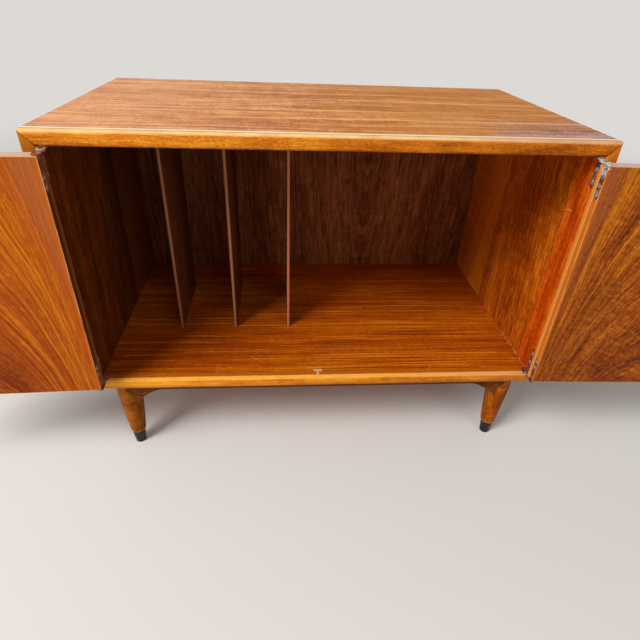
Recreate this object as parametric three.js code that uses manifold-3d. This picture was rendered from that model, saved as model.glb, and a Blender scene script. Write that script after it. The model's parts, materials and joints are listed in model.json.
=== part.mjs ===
// A mid-century record cabinet: a mitred case on a low base with turned legs, its doors folded open.
// Millimetres, +Z up, the front towards -Y. The origin is on the floor, under the middle of the
// box round the whole object as it stands with its doors open.

import * as THREE from 'three';
import { mergeVertices } from 'three/addons/utils/BufferGeometryUtils.js';
import Module from 'manifold-3d';

const wasm = await Module();
wasm.setup();

// Case sizes
const caseWidth = 762;
const caseHeight = 409;
const caseDepth = 436;
const panelThickness = 20;
const bandDepth = 16;
const stileDepth = 51;
const caseCornerRadius = 2.5;
const bandOuterRadius = 6;
const bandInnerRadius = 4.5;
const stileRearRadius = 1;
const backThickness = 6;
const backInset = 11;
const backGrooveDepth = 6;

// Divider sizes
const dividerCount = 3;
const dividerThickness = 5;
const dividerDepth = 168;
const dividerSetback = 152;
const dividerPitch = 100;
const firstDividerOffset = 106;
const dividerGrooveDepth = 4;
const dividerEdgeRadius = 2;

// Base sizes
const baseHeight = 157;
const legInset = 47;
const legSetback = 40;
const legRadius = 20.5;
const legTopRadius = 19.8;
const legSwellDrop = 35;
const legFootRadius = 13.2;
const legFootChamfer = 0.7;
const legTaperPower = 1.25;
const ferruleHeight = 29.5;
const ferruleTopRadius = 11.6;
const ferruleFootRadius = 9;
const ferruleWall = 1.2;
const ferruleFloor = 2.5;
const ferruleFootRounding = 1;
const railThickness = 22;
const railHeight = 18;
const railSetIn = 1;
const railFlareHeight = 42;
const railFlareLength = 46;
const railShoulderHeight = 22;
const shoulderUpperShare = 0.65;
const shoulderLowerShare = 0.2;
const sideRailThickness = 20;
const cornerBlockHeight = 18;
const cornerBlockReach = 60;
const cornerBlockNotch = 24;

// Door sizes
const doorThickness = 19;
const doorHingeGap = 3.2;
const doorMeetingGap = 2;
const doorArris = 0.8;
const doorOpenAngle = THREE.MathUtils.degToRad(178);
const gripReach = 17;
const gripDepth = 9;
const gripHalfHeight = 62;

// Hinge sizes
const pivotInset = 6;
const pivotProud = 4;
const leafThickness = 1.6;
const tabHalfWidth = 5.2;
const tabClearance = 0.4;
const caseLeafWidth = 10;
const caseLeafSetback = 5;
const caseLeafLength = 44;
const doorLeafWidth = 9.5;
const doorLeafBackInset = 1;
const doorLeafLength = 47.5;
const pinRadius = 1.9;
const pinHeadRadius = 3;
const pinHeadHeight = 1.3;
const screwHeadRadius = 3.2;
const screwHeadProud = 0.3;
const screwHeadDepth = 1.9;
const screwRadius = 1.5;
const screwLength = 14;
const screwPointLength = 3;
const screwPointRadius = 0.4;
const caseScrewDrops = [18, 36];
const doorScrewDrops = [29, 41];

// Strike plate sizes
const strikeOffset = -7;
const strikeBarWidth = 15;
const strikeBarDepth = 4;
const strikeStemWidth = 4.5;
const strikeStemLength = 8;
const strikeThickness = 1.2;
const strikeSetback = 8;

// Clearances and mesh fineness
const fitGap = 0.3;
const glueLine = 0.1;
const overrun = 5;
const arcSteps = 3;
const curveSteps = 8;
const legSegments = 32;
const ferruleSegments = 24;
const pinSegments = 16;
const screwSegments = 12;
const gripSegments = 24;

// Places worked out from the sizes
const openingBottom = panelThickness;
const openingTop = caseHeight - panelThickness;
const openingHalfWidth = caseWidth / 2 - panelThickness;
const legX = caseWidth / 2 - legInset;
const pivotX = openingHalfWidth - pivotInset;
const hingeEdge = doorHingeGap - pivotInset;
const meetingEdge = pivotX - doorMeetingGap / 2;
const outerFace = pivotProud;
const innerFace = pivotProud + doorThickness;
const caseTabTop = openingTop - tabClearance;
const doorTabTop = caseTabTop - leafThickness - tabClearance;
const doorTop = doorTabTop - leafThickness - fitGap;
const doorBottom = caseHeight - doorTop;
const backFront = caseDepth - backInset - backThickness;

const X = new THREE.Vector3(1, 0, 0);
const Y = new THREE.Vector3(0, 1, 0);
const Z = new THREE.Vector3(0, 0, 1);

// Solids

// Turns every face outward, for a closed surface that a mirror or a lathe has left inside out.
function facingOut(geometry) {
  const position = geometry.attributes.position;
  const index = geometry.index.array;
  const corners = [new THREE.Vector3(), new THREE.Vector3(), new THREE.Vector3()];
  let volume = 0;
  for (let i = 0; i < index.length; i += 3) {
    corners.forEach((corner, k) => corner.fromBufferAttribute(position, index[i + k]));
    volume += corners[0].dot(corners[1].clone().cross(corners[2]));
  }
  if (volume < 0) {
    for (let i = 0; i < index.length; i += 3) {
      [index[i + 1], index[i + 2]] = [index[i + 2], index[i + 1]];
    }
  }
  return geometry;
}

// One closed surface with shared corners, and no triangle that has closed up to a line.
function welded(geometry) {
  const bare = geometry.clone();
  bare.deleteAttribute('normal');
  bare.deleteAttribute('uv');
  const merged = mergeVertices(bare);
  const kept = [];
  const index = merged.index.array;
  for (let i = 0; i < index.length; i += 3) {
    const [a, b, c] = [index[i], index[i + 1], index[i + 2]];
    if (a !== b && b !== c && c !== a) kept.push(a, b, c);
  }
  merged.setIndex(kept);
  return facingOut(merged);
}

function toSolid(geometry) {
  const surface = welded(geometry);
  return new wasm.Manifold(new wasm.Mesh({
    numProp: 3,
    vertProperties: new Float32Array(surface.attributes.position.array),
    triVerts: new Uint32Array(surface.index.array),
  }));
}

function toGeometry(solid) {
  const { vertProperties, triVerts } = solid.getMesh();
  const geometry = new THREE.BufferGeometry();
  geometry.setAttribute('position', new THREE.BufferAttribute(new Float32Array(vertProperties), 3));
  geometry.setIndex(new THREE.BufferAttribute(new Uint32Array(triVerts), 1));
  return geometry;
}

function cut(geometry, ...tools) {
  return toGeometry(tools.reduce((body, tool) => body.subtract(toSolid(tool)), toSolid(geometry)));
}

function joined(first, second) {
  return toGeometry(toSolid(first).add(toSolid(second)));
}

function common(first, second) {
  return toGeometry(toSolid(first).intersect(toSolid(second)));
}

// Outlines and the shapes made from them

// A closed outline through corners given as [x, y, radius], the radius left out where it is sharp.
function roundedOutline(corners) {
  const points = [];
  corners.forEach(([x, y, radius = 0], i) => {
    const corner = new THREE.Vector2(x, y);
    if (radius === 0) {
      points.push(corner);
      return;
    }
    const [beforeX, beforeY] = corners.at(i - 1);
    const [afterX, afterY] = corners[(i + 1) % corners.length];
    const before = new THREE.Vector2(beforeX, beforeY).sub(corner).normalize();
    const after = new THREE.Vector2(afterX, afterY).sub(corner).normalize();
    const halfAngle = Math.acos(before.dot(after)) / 2;
    const sweep = (Math.PI - 2 * halfAngle) * Math.sign(after.cross(before));
    const middle = before.clone().add(after).normalize();
    const centre = middle.multiplyScalar(radius / Math.sin(halfAngle)).add(corner);
    const start = before.multiplyScalar(radius / Math.tan(halfAngle)).add(corner).sub(centre);
    for (let step = 0; step <= arcSteps; step += 1) {
      const spoke = start.clone().rotateAround(new THREE.Vector2(), sweep * step / arcSteps);
      points.push(spoke.add(centre));
    }
  });
  return new THREE.Shape(points);
}

// The outline of a flat leaf from its square top down to a half-round end.
function leafOutline(front, rear, top, bottom, grow) {
  const radius = (rear - front) / 2;
  return roundedOutline([
    [front - grow, top],
    [front - grow, bottom - grow, radius],
    [rear + grow, bottom - grow, radius],
    [rear + grow, top],
  ]);
}

// A prism along one axis. The outline is drawn in (y, z) for x, in (x, z) for y and in (x, y) for z.
function prism(outline, axis, from, to, bevel = 0) {
  const geometry = new THREE.ExtrudeGeometry(outline, {
    depth: to - from - 2 * bevel,
    curveSegments: curveSteps,
    bevelEnabled: bevel > 0,
    bevelThickness: bevel,
    bevelSize: bevel,
    bevelOffset: -bevel,
    bevelSegments: arcSteps,
  });
  const frames = {
    x: [new THREE.Matrix4().makeBasis(Y, Z, X), X.clone().multiplyScalar(from + bevel)],
    y: [new THREE.Matrix4().makeBasis(X, Z, Y.clone().negate()), Y.clone().multiplyScalar(to - bevel)],
    z: [new THREE.Matrix4(), Z.clone().multiplyScalar(from + bevel)],
  };
  const [turn, shift] = frames[axis];
  return geometry.applyMatrix4(turn).translate(shift.x, shift.y, shift.z);
}

function box(low, high) {
  const [x, y, z] = low.map((value, i) => high[i] - value);
  const [midX, midY, midZ] = low.map((value, i) => (value + high[i]) / 2);
  return new THREE.BoxGeometry(x, y, z).translate(midX, midY, midZ);
}

// A turned shape about the z axis, from [radius, z] points that start and end on the axis.
function turned(points, segments) {
  const profile = points.map(([radius, z]) => new THREE.Vector2(radius, z));
  return welded(new THREE.LatheGeometry(profile, segments).rotateX(Math.PI / 2));
}

function mirrored(geometry, normal) {
  const scale = new THREE.Vector3(1, 1, 1).addScaledVector(normal, -2);
  return welded(geometry.clone().scale(scale.x, scale.y, scale.z));
}

// The other ends and sides are copies of the one drawn: the left, the top and the front.
const overLeft = (geometry) => mirrored(geometry, X);
const overMiddleHeight = (geometry) => mirrored(geometry, Z).translate(0, 0, caseHeight);
const overMiddleDepth = (geometry) => mirrored(geometry, Y).translate(0, caseDepth, 0);

// Materials

function wood(color, roughness) {
  return new THREE.MeshStandardMaterial({ color, roughness, metalness: 0 });
}

function metal(color, roughness) {
  return new THREE.MeshStandardMaterial({ color, roughness, metalness: 1 });
}

const materials = {
  topVeneer: wood(0xb87445, 0.42),
  floorVeneer: wood(0x9a4f1c, 0.45),
  sideVeneer: wood(0x8c4a20, 0.5),
  backVeneer: wood(0x6b3a20, 0.55),
  solidEdge: wood(0xb0671c, 0.4),
  stile: wood(0xa84d17, 0.42),
  divider: wood(0x703519, 0.5),
  door: wood(0x9c5522, 0.42),
  base: wood(0xa0561c, 0.45),
  block: wood(0xa5764a, 0.7),
  ferrule: metal(0x2a2826, 0.5),
  leaf: metal(0x4a3222, 0.45),
  screw: metal(0xb9b4a8, 0.35),
};

function piece(name, geometry, material) {
  const mesh = new THREE.Mesh(geometry, material);
  mesh.name = name;
  mesh.geometry.computeVertexNormals();
  return mesh;
}

// Case: four panels and four solid front members, all mitred at their ends

const caseCentre = new THREE.Vector3(0, 0, caseHeight / 2);
const memberSides = {
  top: { outward: Z, reach: caseHeight / 2, length: caseWidth },
  bottom: { outward: Z.clone().negate(), reach: caseHeight / 2, length: caseWidth },
  left: { outward: X.clone().negate(), reach: caseWidth / 2, length: caseHeight },
  right: { outward: X, reach: caseWidth / 2, length: caseHeight },
};

const caseEnvelope = prism(
  roundedOutline([
    [-caseWidth / 2, 0, caseCornerRadius],
    [caseWidth / 2, 0, caseCornerRadius],
    [caseWidth / 2, caseHeight, caseCornerRadius],
    [-caseWidth / 2, caseHeight, caseCornerRadius],
  ]),
  'y',
  -overrun,
  caseDepth + overrun,
);

// The profile is drawn in (y, outward): 0 is the outer face and -panelThickness the inner one.
function mitredMember(profile, side) {
  const { outward, reach, length } = memberSides[side];
  const geometry = new THREE.ExtrudeGeometry(profile, { depth: 1, bevelEnabled: false });
  const position = geometry.attributes.position;
  for (let i = 0; i < position.count; i += 1) {
    const end = 2 * position.getZ(i) - 1;
    position.setZ(i, end * (length / 2 + position.getY(i) - glueLine));
  }
  const along = Y.clone().cross(outward);
  const frame = new THREE.Matrix4().makeBasis(Y, outward, along);
  frame.setPosition(outward.clone().multiplyScalar(reach).add(caseCentre));
  return common(geometry.applyMatrix4(frame), caseEnvelope);
}

function panelProfile(front) {
  return roundedOutline([
    [front, -panelThickness],
    [caseDepth, -panelThickness],
    [caseDepth, 0],
    [front, 0],
  ]);
}

function frontProfile(depth, rearRadius) {
  return roundedOutline([
    [0, -panelThickness, bandInnerRadius],
    [depth, -panelThickness, rearRadius],
    [depth, 0],
    [0, 0, bandOuterRadius],
  ]);
}

const backGroove = box(
  [
    -openingHalfWidth - backGrooveDepth,
    backFront - fitGap,
    openingBottom - backGrooveDepth,
  ],
  [
    openingHalfWidth + backGrooveDepth,
    backFront + backThickness + fitGap,
    openingTop + backGrooveDepth,
  ],
);

const dividerXs = [];
for (let i = 0; i < dividerCount; i += 1) {
  dividerXs.push(firstDividerOffset - openingHalfWidth + i * dividerPitch);
}

const dividerGrooves = dividerXs.map((x) => box(
  [
    x - dividerThickness / 2 - fitGap,
    dividerSetback - fitGap,
    openingBottom - dividerGrooveDepth,
  ],
  [
    x + dividerThickness / 2 + fitGap,
    dividerSetback + dividerDepth + fitGap,
    openingTop + dividerGrooveDepth,
  ],
));

// Hinges: drawn for the left door's top hinge, round the pivot, with the door closed

const caseLeafFront = pivotProud + caseLeafSetback;
const caseLeafRear = caseLeafFront + caseLeafWidth;
const doorLeafRear = innerFace - doorLeafBackInset;
const doorLeafFront = doorLeafRear - doorLeafWidth;

function caseLeafShape(grow, face, top) {
  const bottom = caseTabTop - caseLeafLength;
  const outline = leafOutline(caseLeafFront, caseLeafRear, top, bottom, grow);
  return prism(outline, 'x', -pivotInset - leafThickness - grow, face);
}

function doorLeafShape(grow, face, top) {
  const bottom = doorTabTop - doorLeafLength;
  const outline = leafOutline(doorLeafFront, doorLeafRear, top, bottom, grow);
  return prism(outline, 'x', face, hingeEdge + leafThickness + grow);
}

// Half round about the pivot, then an arm that runs back to the corners where it meets the leaf.
function tabShape(top, rear, leafCorners) {
  const outline = roundedOutline([
    [-tabHalfWidth, -tabHalfWidth, tabHalfWidth],
    [tabHalfWidth, -tabHalfWidth, tabHalfWidth],
    [tabHalfWidth, rear, tabHalfWidth],
    ...leafCorners,
  ]);
  return prism(outline, 'z', top - leafThickness, top);
}

function pinHole(top) {
  const radius = pinRadius + fitGap;
  const low = top - leafThickness - overrun;
  const high = top + overrun;
  return turned([[0, low], [radius, low], [radius, high], [0, high]], pinSegments);
}

function screwProfile(grow, headTop) {
  return [
    [0, headTop],
    [screwHeadRadius + grow, headTop],
    [screwHeadRadius + grow, 0],
    [screwRadius + grow, -screwHeadDepth],
    [screwRadius + grow, -screwLength + screwPointLength - grow],
    [screwPointRadius + grow, -screwLength - grow],
    [0, -screwLength - grow],
  ];
}

// A screw or its hole in a surface at x, with its point towards the wood: -1 for -X, 1 for +X.
function screwAt(grow, headTop, x, y, z, towards) {
  const screw = turned(screwProfile(grow, headTop), screwSegments);
  return screw.rotateY(-towards * Math.PI / 2).translate(x, y, z);
}

const caseScrewY = (caseLeafFront + caseLeafRear) / 2;
const doorScrewY = (doorLeafFront + doorLeafRear) / 2;
const caseScrewPlaces = caseScrewDrops.map((drop) => [-pivotInset, caseScrewY, caseTabTop - drop, -1]);
const doorScrewPlaces = doorScrewDrops.map((drop) => [hingeEdge, doorScrewY, doorTabTop - drop, 1]);
const caseScrewHoles = caseScrewPlaces.map((place) => screwAt(fitGap, overrun, ...place));
const doorScrewHoles = doorScrewPlaces.map((place) => screwAt(fitGap, overrun, ...place));

const caseTab = tabShape(caseTabTop, caseLeafRear, [
  [-pivotInset - leafThickness, caseLeafRear],
  [-pivotInset - leafThickness, caseLeafFront],
  [-tabHalfWidth, caseLeafFront],
]);
const doorTab = tabShape(doorTabTop, doorLeafRear, [[-tabHalfWidth, doorLeafRear]]);

const hingeShapes = {
  caseLeaf: cut(
    joined(caseLeafShape(0, -pivotInset, caseTabTop), caseTab),
    pinHole(caseTabTop),
    ...caseScrewHoles,
  ),
  doorLeaf: cut(
    joined(doorLeafShape(0, hingeEdge, doorTabTop), doorTab),
    pinHole(doorTabTop),
    ...doorScrewHoles,
  ),
  pin: turned(
    [
      [0, caseTabTop + fitGap + pinHeadHeight],
      [pinHeadRadius, caseTabTop + fitGap + pinHeadHeight],
      [pinHeadRadius, caseTabTop + fitGap],
      [pinRadius, caseTabTop + fitGap],
      [pinRadius, doorTabTop - leafThickness - fitGap],
      [pinHeadRadius, doorTabTop - leafThickness - fitGap],
      [pinHeadRadius, doorTabTop - leafThickness - fitGap - pinHeadHeight],
      [0, doorTabTop - leafThickness - fitGap - pinHeadHeight],
    ],
    pinSegments,
  ),
  caseScrews: caseScrewPlaces.map((place) => screwAt(0, screwHeadProud, ...place)),
  doorScrews: doorScrewPlaces.map((place) => screwAt(0, screwHeadProud, ...place)),
};

// What a leaf and its screws take out of the wood, at the top and again at the bottom.
const stileCuts = [
  caseLeafShape(fitGap, overrun, openingTop),
  ...caseScrewHoles,
].map((tool) => tool.clone().translate(-pivotX, -pivotProud, 0));

const doorCuts = [
  doorLeafShape(fitGap, hingeEdge - overrun, doorTop + overrun),
  ...doorScrewHoles,
];

function atBothEnds(tools) {
  return [...tools, ...tools.map(overMiddleHeight)];
}

// Case pieces

function buildCase() {
  const group = new THREE.Group();
  const panel = panelProfile(bandDepth);
  const sidePanel = panelProfile(stileDepth);
  const band = frontProfile(bandDepth, 0);
  const stile = frontProfile(stileDepth, stileRearRadius);
  const leftStile = cut(mitredMember(stile, 'left'), ...atBothEnds(stileCuts));
  group.add(
    piece('top_panel', cut(mitredMember(panel, 'top'), backGroove, ...dividerGrooves), materials.topVeneer),
    piece(
      'bottom_panel',
      cut(mitredMember(panel, 'bottom'), backGroove, ...dividerGrooves),
      materials.floorVeneer,
    ),
    piece('left_side_panel', cut(mitredMember(sidePanel, 'left'), backGroove), materials.sideVeneer),
    piece('right_side_panel', cut(mitredMember(sidePanel, 'right'), backGroove), materials.sideVeneer),
    piece('top_front_band', mitredMember(band, 'top'), materials.solidEdge),
    piece('bottom_front_band', mitredMember(band, 'bottom'), materials.solidEdge),
    piece('left_front_stile', leftStile, materials.stile),
    piece('right_front_stile', overLeft(leftStile), materials.stile),
    buildBackPanel(),
    ...buildDividers(),
    buildStrike(),
  );
  return group;
}

function buildBackPanel() {
  const reach = backGrooveDepth - fitGap;
  const panel = box(
    [-openingHalfWidth - reach, backFront, openingBottom - reach],
    [openingHalfWidth + reach, backFront + backThickness, openingTop + reach],
  );
  return piece('back_panel', panel, materials.backVeneer);
}

function buildDividers() {
  const reach = dividerGrooveDepth - fitGap;
  const outline = roundedOutline([
    [-dividerThickness / 2, 0, dividerEdgeRadius],
    [dividerThickness / 2, 0, dividerEdgeRadius],
    [dividerThickness / 2, dividerDepth, dividerEdgeRadius],
    [-dividerThickness / 2, dividerDepth, dividerEdgeRadius],
  ]);
  return dividerXs.map((x, i) => {
    const shape = prism(outline, 'z', openingBottom - reach, openingTop + reach);
    const divider = piece(`divider_${i + 1}`, shape, materials.divider);
    divider.position.set(x, dividerSetback, 0);
    return divider;
  });
}

// A T-shaped plate, its bar at the back and its stem towards the front edge.
function buildStrike() {
  const outline = roundedOutline([
    [-strikeStemWidth / 2, 0],
    [strikeStemWidth / 2, 0],
    [strikeStemWidth / 2, strikeStemLength],
    [strikeBarWidth / 2, strikeStemLength],
    [strikeBarWidth / 2, strikeStemLength + strikeBarDepth],
    [-strikeBarWidth / 2, strikeStemLength + strikeBarDepth],
    [-strikeBarWidth / 2, strikeStemLength],
    [-strikeStemWidth / 2, strikeStemLength],
  ]);
  const strike = piece('catch_strike', prism(outline, 'z', 0, strikeThickness), materials.screw);
  strike.position.set(strikeOffset, strikeSetback, openingBottom);
  return strike;
}

// Base: sculpted rails and turned legs, below the case

const railFront = legSetback - legRadius + railSetIn;
const railRear = railFront + railThickness;
const sideRailInner = legX - sideRailThickness / 2;
const sideRailOuter = legX + sideRailThickness / 2;

// The right half of a rail, which ends over the leg in a scribed shoulder.
function railHalfOutline(grow) {
  const shape = new THREE.Shape();
  shape.moveTo(0, 0);
  shape.lineTo(legX + grow, 0);
  shape.lineTo(legX + grow, -railShoulderHeight - grow);
  shape.bezierCurveTo(
    legX - legRadius * shoulderUpperShare + grow,
    -railShoulderHeight - grow,
    legX - legRadius * shoulderLowerShare + grow,
    -railFlareHeight - grow,
    legX - legRadius + grow,
    -railFlareHeight - grow,
  );
  shape.quadraticCurveTo(
    legX - legRadius - railFlareLength / 2,
    -railHeight - grow,
    legX - legRadius - railFlareLength,
    -railHeight - grow,
  );
  shape.lineTo(0, -railHeight - grow);
  return shape;
}

// The whole rail is its right half and that half's mirror image.
function buildRails() {
  const half = prism(railHalfOutline(0), 'y', railFront, railRear);
  const front = joined(half, overLeft(half));
  const side = buildSideRail();
  return [
    piece('front_rail', front, materials.base),
    piece('rear_rail', overMiddleDepth(front), materials.base),
    piece('left_rail', side, materials.base),
    piece('right_rail', overLeft(side), materials.base),
  ];
}

// A side rail is coped round the legs at both ends.
function buildSideRail() {
  const legSurface = legSetback + legRadius;
  const shape = new THREE.Shape();
  shape.moveTo(legSetback, 0);
  shape.lineTo(legSetback, -railFlareHeight);
  shape.lineTo(legSurface, -railFlareHeight);
  shape.quadraticCurveTo(
    legSurface + railFlareLength / 2,
    -railHeight,
    legSurface + railFlareLength,
    -railHeight,
  );
  shape.lineTo(caseDepth / 2, -railHeight);
  shape.lineTo(caseDepth / 2, 0);
  const half = prism(shape, 'x', -sideRailOuter, -sideRailInner);
  const rail = joined(half, overMiddleDepth(half));
  const radius = legRadius + fitGap;
  const low = -railFlareHeight - overrun;
  const cope = turned([[0, low], [radius, low], [radius, overrun], [0, overrun]], legSegments);
  const copes = [legSetback, caseDepth - legSetback].map((y) => cope.clone().translate(-legX, y, 0));
  return cut(rail, ...copes);
}

// The leg swells a little below the case, then tapers in a full curve to its foot.
function legProfile() {
  const foot = ferruleHeight - baseHeight + fitGap;
  const swell = -legSwellDrop;
  const points = [[0, 0]];
  for (let step = 0; step < curveSteps / 2; step += 1) {
    const share = 2 * step / curveSteps;
    const radius = legRadius - (legRadius - legTopRadius) * (1 - share) ** 2;
    points.push([radius, swell * share]);
  }
  const taperEnd = foot + legFootChamfer;
  for (let step = 0; step <= curveSteps; step += 1) {
    const share = step / curveSteps;
    const radius = legRadius - (legRadius - legFootRadius) * share ** legTaperPower;
    points.push([radius, swell + (taperEnd - swell) * share]);
  }
  const ferruleBore = ferruleFloor - baseHeight;
  points.push(
    [legFootRadius - legFootChamfer, foot],
    [ferruleTopRadius - ferruleWall - fitGap, foot],
    [ferruleFootRadius - ferruleWall - fitGap, ferruleBore + fitGap],
    [0, ferruleBore + fitGap],
  );
  return points;
}

function ferruleProfile() {
  const top = ferruleHeight - baseHeight;
  return [
    [0, -baseHeight],
    [ferruleFootRadius - ferruleFootRounding, -baseHeight],
    [ferruleFootRadius, ferruleFootRounding - baseHeight],
    [ferruleTopRadius, top],
    [ferruleTopRadius - ferruleWall, top],
    [ferruleFootRadius - ferruleWall, ferruleFloor - baseHeight],
    [0, ferruleFloor - baseHeight],
  ];
}

const legPlaces = [
  { name: 'front_left', x: -legX, rear: false },
  { name: 'front_right', x: legX, rear: false },
  { name: 'rear_left', x: -legX, rear: true },
  { name: 'rear_right', x: legX, rear: true },
];

// The front right leg with a seat scribed for the rail's shoulder, about the leg's own axis.
function seatedLeg() {
  const seat = prism(railHalfOutline(fitGap), 'y', railFront - overrun, railRear + fitGap)
    .translate(-legX, -legSetback, 0);
  return cut(turned(legProfile(), legSegments), seat);
}

function buildLegs() {
  const frontRight = seatedLeg();
  const ferrule = turned(ferruleProfile(), ferruleSegments);
  return legPlaces.flatMap(({ name, x, rear }) => {
    const acrossX = x < 0 ? mirrored(frontRight, X) : frontRight.clone();
    const shape = rear ? mirrored(acrossX, Y) : acrossX;
    const y = rear ? caseDepth - legSetback : legSetback;
    const leg = piece(`leg_${name}`, shape, materials.base);
    const foot = piece(`ferrule_${name}`, ferrule.clone(), materials.ferrule);
    leg.position.set(x, y, 0);
    foot.position.set(x, y, 0);
    return [leg, foot];
  });
}

function buildCornerBlocks() {
  const outline = roundedOutline([
    [sideRailInner - cornerBlockReach, railRear],
    [sideRailInner - cornerBlockNotch, railRear],
    [sideRailInner, railRear + cornerBlockNotch],
    [sideRailInner, railRear + cornerBlockReach],
  ]);
  const frontRight = prism(outline, 'z', -cornerBlockHeight, 0);
  return legPlaces.map(({ name, x, rear }) => {
    const acrossX = x < 0 ? overLeft(frontRight) : frontRight.clone();
    return piece(`corner_block_${name}`, rear ? overMiddleDepth(acrossX) : acrossX, materials.block);
  });
}

function buildBase() {
  const group = new THREE.Group();
  group.add(...buildRails(), ...buildLegs(), ...buildCornerBlocks());
  return group;
}

// Doors

// The left door, closed, about its pivot.
function leftDoorShape() {
  const outline = roundedOutline([
    [hingeEdge, doorBottom],
    [meetingEdge, doorBottom],
    [meetingEdge, doorTop],
    [hingeEdge, doorTop],
  ]);
  const slab = prism(outline, 'y', outerFace, innerFace, doorArris);
  const grip = new THREE.SphereGeometry(1, gripSegments, gripSegments / 2)
    .rotateX(Math.PI / 2)
    .scale(gripReach, gripDepth, gripHalfHeight)
    .translate(meetingEdge, outerFace, caseHeight / 2);
  return cut(slab, grip, ...atBothEnds(doorCuts));
}

// Every hinge piece is the left top one, mirrored for the right side and for the bottom.
function forSide(geometry, side) {
  return side === 'left' ? geometry.clone() : overLeft(geometry);
}

function forLevel(geometry, level) {
  return level === 'top' ? geometry : overMiddleHeight(geometry);
}

function hingePieces(side, shapes) {
  return ['top', 'bottom'].flatMap((level) => shapes.map(({ name, shape, material }) => (
    piece(`${side}_${level}_${name}`, forLevel(forSide(shape, side), level), material)
  )));
}

function numbered(name, shapes) {
  return shapes.map((shape, i) => ({ name: `${name}_${i + 1}`, shape, material: materials.screw }));
}

function buildFixedHingeParts(side) {
  const group = new THREE.Group();
  group.position.set(side === 'left' ? -pivotX : pivotX, -pivotProud, 0);
  group.add(...hingePieces(side, [
    { name: 'case_leaf', shape: hingeShapes.caseLeaf, material: materials.leaf },
    { name: 'pivot_pin', shape: hingeShapes.pin, material: materials.leaf },
    ...numbered('case_screw', hingeShapes.caseScrews),
  ]));
  return group;
}

function buildDoor(side) {
  const group = new THREE.Group();
  group.position.set(side === 'left' ? -pivotX : pivotX, -pivotProud, 0);
  group.rotation.z = side === 'left' ? -doorOpenAngle : doorOpenAngle;
  group.add(
    piece(`${side}_door`, forSide(leftDoorShape(), side), materials.door),
    ...hingePieces(side, [
      { name: 'door_leaf', shape: hingeShapes.doorLeaf, material: materials.leaf },
      ...numbered('door_screw', hingeShapes.doorScrews),
    ]),
  );
  return group;
}

// The whole cabinet, set so that the box round it stands centred on the origin

// An open door's foremost edge is the inner corner of its meeting edge.
function openDoorReach() {
  const acrossDoor = (meetingEdge - doorArris) * Math.sin(doorOpenAngle);
  const throughDoor = -innerFace * Math.cos(doorOpenAngle);
  return pivotProud + acrossDoor + throughDoor;
}

const cabinet = new THREE.Group();
cabinet.position.set(0, (openDoorReach() - caseDepth) / 2, baseHeight);
cabinet.add(
  buildCase(),
  buildBase(),
  ...['left', 'right'].flatMap((side) => [buildFixedHingeParts(side), buildDoor(side)]),
);

export default cabinet;
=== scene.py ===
"""A mid-century record cabinet in lacquered walnut, its doors folded open: looks, camera and light."""

import json
import math
from dataclasses import dataclass, replace

import bpy
from mathutils import Matrix, Vector

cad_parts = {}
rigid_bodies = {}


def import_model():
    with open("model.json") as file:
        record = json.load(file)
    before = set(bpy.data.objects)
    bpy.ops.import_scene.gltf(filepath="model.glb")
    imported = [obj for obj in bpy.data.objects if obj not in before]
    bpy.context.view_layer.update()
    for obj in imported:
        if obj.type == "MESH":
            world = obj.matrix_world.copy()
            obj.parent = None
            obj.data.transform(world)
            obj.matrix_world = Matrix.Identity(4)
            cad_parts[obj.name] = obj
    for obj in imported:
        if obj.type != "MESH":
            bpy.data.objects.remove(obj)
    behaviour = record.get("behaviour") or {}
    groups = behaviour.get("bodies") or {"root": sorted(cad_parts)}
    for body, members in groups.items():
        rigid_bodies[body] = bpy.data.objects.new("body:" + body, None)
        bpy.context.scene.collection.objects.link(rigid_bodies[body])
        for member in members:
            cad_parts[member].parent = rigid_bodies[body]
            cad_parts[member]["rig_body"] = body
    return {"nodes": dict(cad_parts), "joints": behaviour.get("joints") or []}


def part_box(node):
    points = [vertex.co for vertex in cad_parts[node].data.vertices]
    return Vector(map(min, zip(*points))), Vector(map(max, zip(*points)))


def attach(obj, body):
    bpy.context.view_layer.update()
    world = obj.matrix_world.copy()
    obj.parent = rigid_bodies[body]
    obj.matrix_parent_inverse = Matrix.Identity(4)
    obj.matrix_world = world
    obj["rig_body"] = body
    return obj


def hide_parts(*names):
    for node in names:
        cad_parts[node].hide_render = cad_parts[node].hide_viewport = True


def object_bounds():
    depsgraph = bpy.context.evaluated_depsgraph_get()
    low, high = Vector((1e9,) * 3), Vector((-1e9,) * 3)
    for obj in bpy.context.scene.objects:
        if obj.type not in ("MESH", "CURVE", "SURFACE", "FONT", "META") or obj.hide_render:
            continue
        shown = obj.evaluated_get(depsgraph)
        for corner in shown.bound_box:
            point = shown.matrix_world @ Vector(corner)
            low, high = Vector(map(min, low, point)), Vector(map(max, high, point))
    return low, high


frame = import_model()
cad_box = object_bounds()
nodes = frame["nodes"]
hinges = {joint["name"].split("_")[0]: joint for joint in frame["joints"]}

MM = 0.001

# Camera: the photograph's place, direction and lens
CAMERA_PLACE = (-0.0685, -0.8252, 0.7072)
CAMERA_YAW = 0.0953
CAMERA_PITCH = 0.5828
CAMERA_ROLL = 0.0442
CAMERA_LENS = 27.4
CAMERA_CLIP_START = 0.05

# Light
KEY_SIZE = 1.7
KEY_DISTANCE = 4.5
KEY_AZIMUTH = math.radians(50)
KEY_ELEVATION = math.radians(42)
KEY_LEVEL = 0.86
FRONT_SIZE = 2.6
FRONT_DISTANCE = 4.2
FRONT_AZIMUTH = math.radians(-25)
FRONT_ELEVATION = math.radians(30)
FRONT_LEVEL = 0.14
WORLD_LEVEL = 0.29
BACKDROP = "dddad6"
FLOOR_COLOUR = "e6e3dd"
FLOOR_ROUGHNESS = 0.9
FLOOR_SHINE = 0.1
FLOOR_SIZE = 60.0
FLOOR_FADE_START = 1.2
FLOOR_FADE_END = 3.2

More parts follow.
